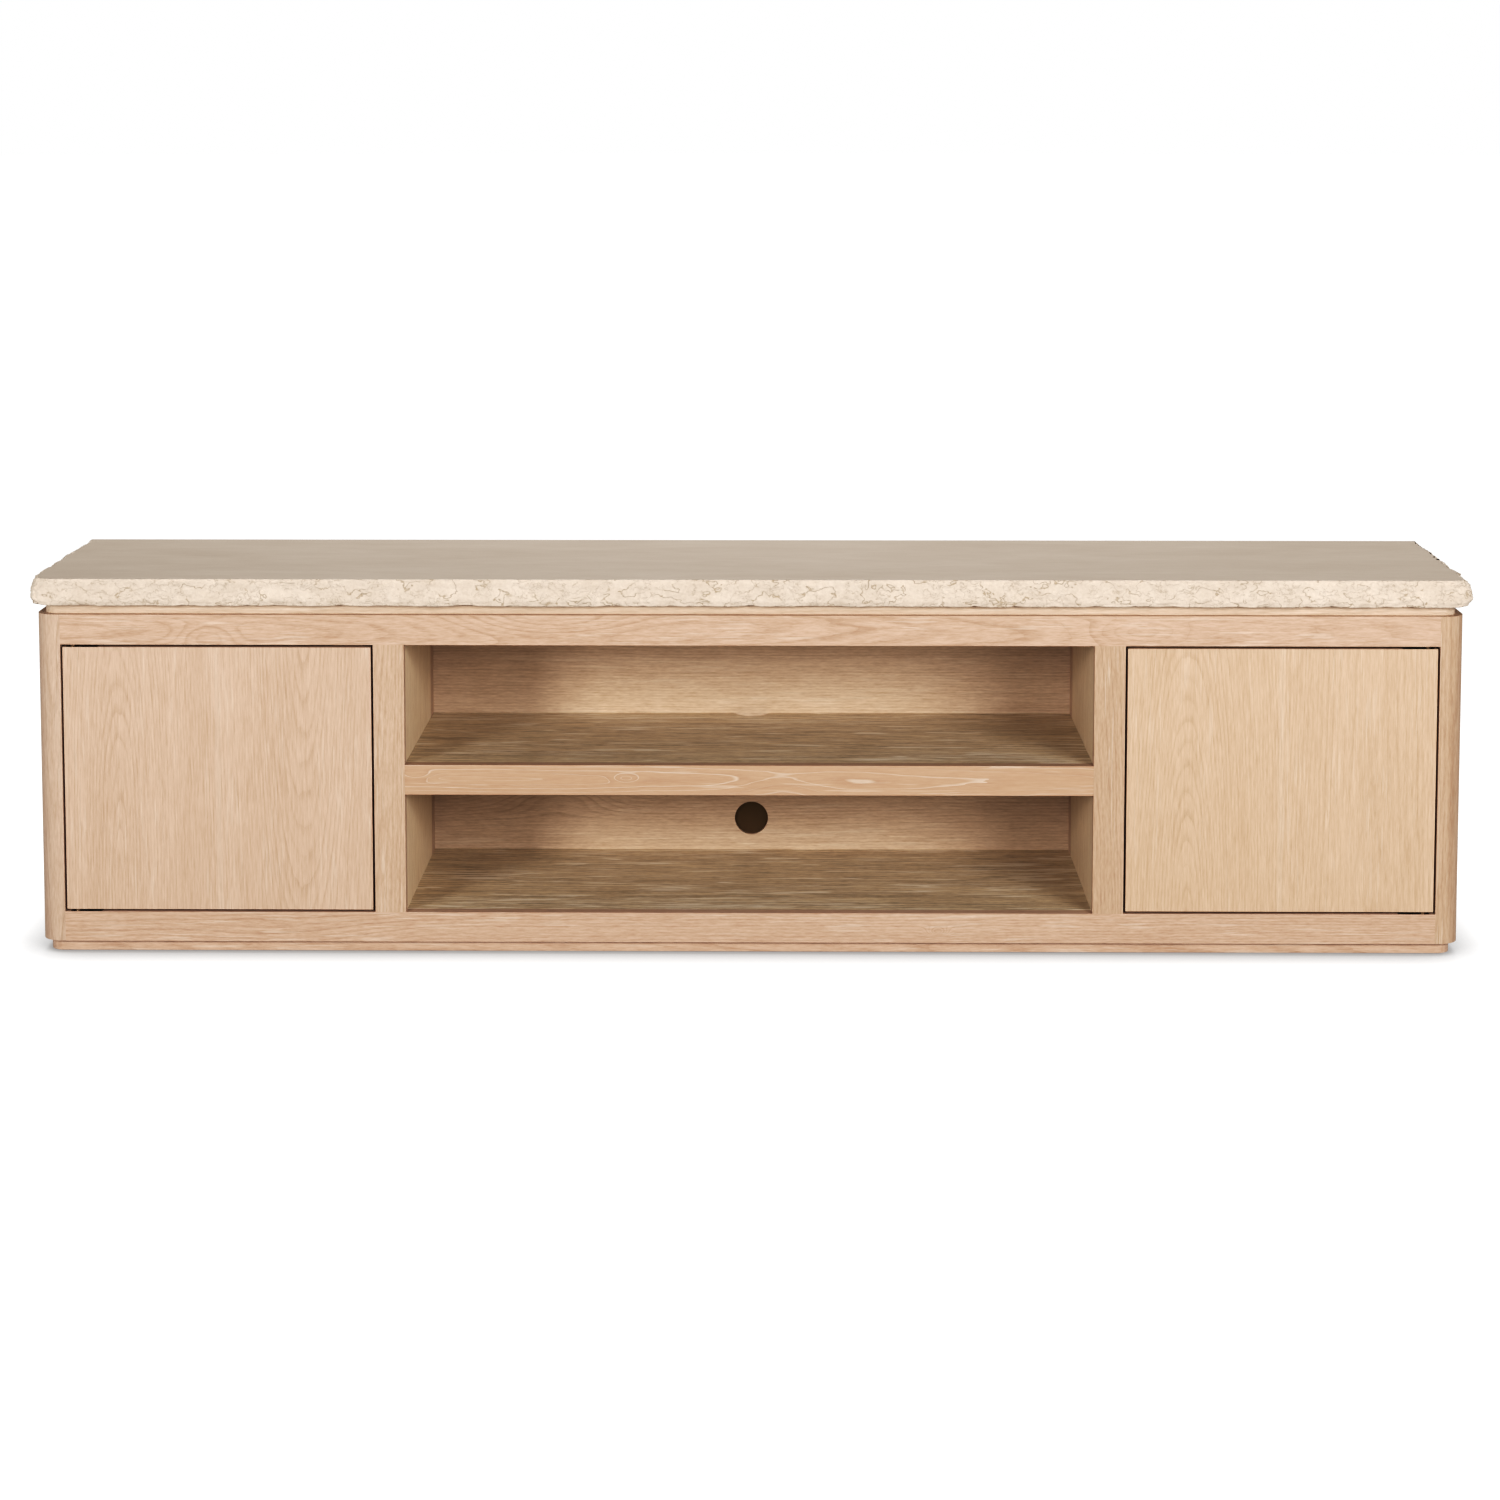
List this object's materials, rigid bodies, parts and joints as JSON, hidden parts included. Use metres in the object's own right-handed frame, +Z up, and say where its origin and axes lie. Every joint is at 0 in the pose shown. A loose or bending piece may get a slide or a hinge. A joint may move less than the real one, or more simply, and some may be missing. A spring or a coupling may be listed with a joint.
{
  "type": "media cabinet",
  "caption": "Low wide oak media cabinet with a rock-edged stone top, hinged push-to-open end doors and an open centre bay with a fixed shelf.",
  "frame": {"origin": "middle of the covered floor area, at floor level", "axes": "+X along the width to the viewer's right, +Y to the back, +Z up; the doors face -Y"},
  "size_m": [2.294, 0.457, 0.606],
  "materials": {
    "stone": "honed top, rock-faced edges",
    "silicone": "clear silicone",
    "plywood": "raw plywood",
    "oak_frame": "pale matt oiled solid oak",
    "oak_veneer": "pale matt oak veneer",
    "oak_inside": "matt oak veneer",
    "black_rubber": "matt black rubber",
    "glide_nylon": "dark nylon",
    "zinc_steel": "zinc plated",
    "beech": "raw beech",
    "latch_plastic": "light grey plastic",
    "plunger_plastic": "black plastic"
  },
  "bodies": {
    "carcass": {"stone_top": "stone", "stone_bedding_pads": "silicone", "neck_core_panel": "plywood", "neck_edge_front": "oak_frame", "neck_edge_back": "oak_frame", "neck_edge_left": "oak_frame", "neck_edge_right": "oak_frame", "carcass_top_panel": "oak_inside", "carcass_bottom_panel": "oak_inside", "top_rail": "oak_frame", "bottom_rail": "oak_frame", "corner_post_front_left": "oak_frame", "corner_post_front_right": "oak_frame", "corner_post_back_left": "oak_frame", "corner_post_back_right": "oak_frame", "front_stile_left": "oak_frame", "front_stile_right": "oak_frame", "rear_stile_left": "oak_frame", "rear_stile_right": "oak_frame", "end_panel_left": "oak_veneer", "end_panel_right": "oak_veneer", "divider_left": "oak_inside", "divider_right": "oak_inside", "middle_shelf_lipping": "oak_frame", "middle_shelf_top_board": "oak_inside", "middle_shelf_bottom_board": "oak_inside", "middle_shelf_core": "plywood", "back_panel_centre": "oak_inside", "back_panel_left": "oak_inside", "back_panel_right": "oak_inside", "cable_hole_flap": "black_rubber", "plinth_front": "oak_frame", "plinth_back": "oak_frame", "plinth_left": "oak_frame", "plinth_right": "oak_frame", "plinth_cross_rails": "plywood", "floor_bearers": "plywood", "floor_glides": "glide_nylon", "adjustable_shelf_left": "oak_inside", "adjustable_shelf_right": "oak_inside", "shelf_pins": "zinc_steel", "frame_dowels": "beech", "back_panel_screws": "zinc_steel", "fitting_screws": "zinc_steel", "hinge_frame_plates_left": "zinc_steel", "hinge_frame_plates_right": "zinc_steel", "latch_blocks": "beech", "latch_housing_left": "latch_plastic", "latch_housing_right": "latch_plastic"},
    "door_left": {"door_panel_left": "oak_veneer", "hinge_door_plates_left": "zinc_steel", "strike_plate_left": "zinc_steel", "door_screws_left": "zinc_steel"},
    "plunger_left": {"latch_plunger_left": "plunger_plastic"},
    "door_right": {"door_panel_right": "oak_veneer", "hinge_door_plates_right": "zinc_steel", "strike_plate_right": "zinc_steel", "door_screws_right": "zinc_steel"},
    "plunger_right": {"latch_plunger_right": "plunger_plastic"}
  },
  "joints": [
    {"name": "door_left_hinge", "type": "hinge", "parent": "carcass", "child": "door_left", "pos_m": [-1.0755, -0.2075, 0.284], "axis": [0, 0, -1], "range_deg": [0, 105]},
    {"name": "door_right_hinge", "type": "hinge", "parent": "carcass", "child": "door_right", "pos_m": [1.0755, -0.2075, 0.284], "axis": [0, 0, 1], "range_deg": [0, 105]},
    {"name": "latch_left_plunger", "type": "slide", "parent": "carcass", "child": "plunger_left", "axis": [0, -1, 0], "range_m": [0, 0.02]},
    {"name": "latch_right_plunger", "type": "slide", "parent": "carcass", "child": "plunger_right", "axis": [0, -1, 0], "range_m": [0, 0.02]}
  ],
  "couplings": [
    {"joint": "latch_left_plunger", "follows": "door_left_hinge", "m_per_rad": 0.0109},
    {"joint": "latch_right_plunger", "follows": "door_right_hinge", "m_per_rad": 0.0109}
  ]
}
